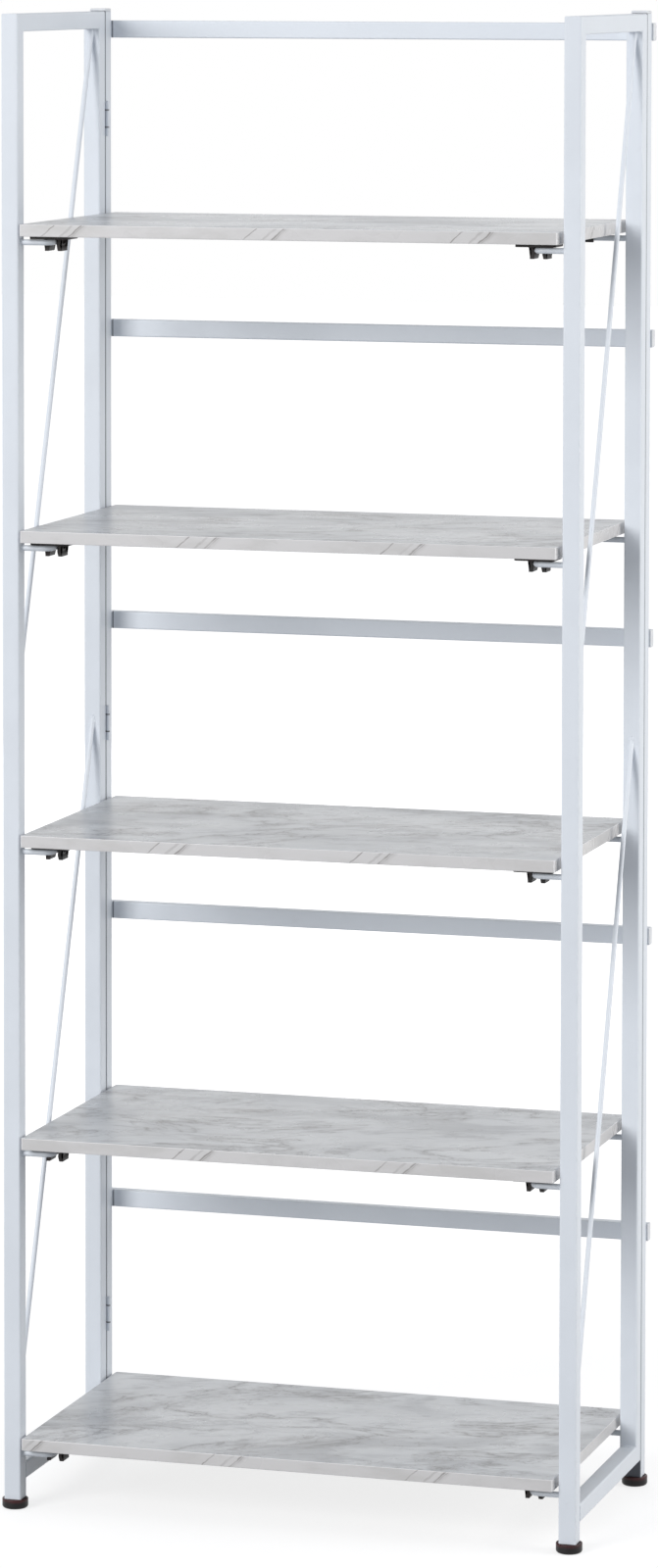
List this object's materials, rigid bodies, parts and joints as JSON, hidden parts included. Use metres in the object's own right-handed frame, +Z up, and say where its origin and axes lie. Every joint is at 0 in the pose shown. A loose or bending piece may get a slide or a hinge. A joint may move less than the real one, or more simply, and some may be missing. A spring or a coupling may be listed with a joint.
{
  "type": "folding bookcase",
  "caption": "Tall open folding bookcase: a square-tube back frame, two hinged side frames with diagonal rods and level lift-out boards clipped to wire supports.",
  "frame": {"origin": "on the floor, in the middle of the whole object's box", "axes": "+Z up, +X to the right seen from the front, -Y towards the person using it"},
  "size_m": [0.6086, 0.31, 1.523],
  "materials": {
    "frame": "satin powder coat",
    "board": "satin laminate, pale grey streaks",
    "clip_plastic": "matte",
    "foot_plastic": "matte",
    "white_plastic": "satin",
    "hinge_steel": "satin powder coat",
    "screw_steel": "zinc plated"
  },
  "bodies": {
    "back_frame": {"back_post_left": "frame", "back_post_right": "frame", "crossbar_1": "frame", "crossbar_2": "frame", "crossbar_3": "frame", "crossbar_4": "frame", "crossbar_5": "frame", "crossbar_end_plugs": "white_plastic", "back_post_caps": "white_plastic", "rear_feet": "foot_plastic", "back_hinge_leaves_left": "hinge_steel", "back_hinge_leaves_right": "hinge_steel", "hinge_pins_left": "hinge_steel", "hinge_pins_right": "hinge_steel"},
    "side_frame_left": {"front_post_left": "frame", "rear_post_left": "frame", "top_bar_left": "frame", "bottom_bar_left": "frame", "brace_upper_left": "frame", "brace_lower_left": "frame", "front_wires_left": "frame", "rear_pegs_left": "frame", "front_foot_left": "foot_plastic", "side_hinge_leaves_left": "hinge_steel"},
    "side_frame_right": {"front_post_right": "frame", "rear_post_right": "frame", "top_bar_right": "frame", "bottom_bar_right": "frame", "brace_upper_right": "frame", "brace_lower_right": "frame", "front_wires_right": "frame", "rear_pegs_right": "frame", "front_foot_right": "foot_plastic", "side_hinge_leaves_right": "hinge_steel"},
    "shelf_1": {"shelf_1_board": "board", "shelf_1_front_clips": "clip_plastic", "shelf_1_rear_clips": "clip_plastic", "shelf_1_screws": "screw_steel"},
    "shelf_2": {"shelf_2_board": "board", "shelf_2_front_clips": "clip_plastic", "shelf_2_rear_clips": "clip_plastic", "shelf_2_screws": "screw_steel"},
    "shelf_3": {"shelf_3_board": "board", "shelf_3_front_clips": "clip_plastic", "shelf_3_rear_clips": "clip_plastic", "shelf_3_screws": "screw_steel"},
    "shelf_4": {"shelf_4_board": "board", "shelf_4_front_clips": "clip_plastic", "shelf_4_rear_clips": "clip_plastic", "shelf_4_screws": "screw_steel"},
    "shelf_5": {"shelf_5_board": "board", "shelf_5_front_clips": "clip_plastic", "shelf_5_rear_clips": "clip_plastic", "shelf_5_screws": "screw_steel"}
  },
  "joints": [
    {"name": "side_fold_left", "type": "hinge", "parent": "back_frame", "child": "side_frame_left", "pos_m": [-0.28, 0.12425, 0.77], "axis": [0, 0, 1], "range_deg": [0, 0.2]},
    {"name": "side_fold_right", "type": "hinge", "parent": "back_frame", "child": "side_frame_right", "pos_m": [0.28, 0.12425, 0.77], "axis": [0, 0, -1], "range_deg": [0, 0.2]},
    {"name": "shelf_1_lift_out", "type": "slide", "parent": "back_frame", "child": "shelf_1", "axis": [0, -0.766, 0.6428], "range_m": [0, 0.39]},
    {"name": "shelf_2_lift_out", "type": "slide", "parent": "back_frame", "child": "shelf_2", "axis": [0, -0.766, 0.6428], "range_m": [0, 0.39]},
    {"name": "shelf_3_lift_out", "type": "slide", "parent": "back_frame", "child": "shelf_3", "axis": [0, -0.766, 0.6428], "range_m": [0, 0.39]},
    {"name": "shelf_4_lift_out", "type": "slide", "parent": "back_frame", "child": "shelf_4", "axis": [0, -0.766, 0.6428], "range_m": [0, 0.39]},
    {"name": "shelf_5_lift_out", "type": "slide", "parent": "back_frame", "child": "shelf_5", "axis": [0, -0.766, 0.6428], "range_m": [0, 0.39]}
  ]
}
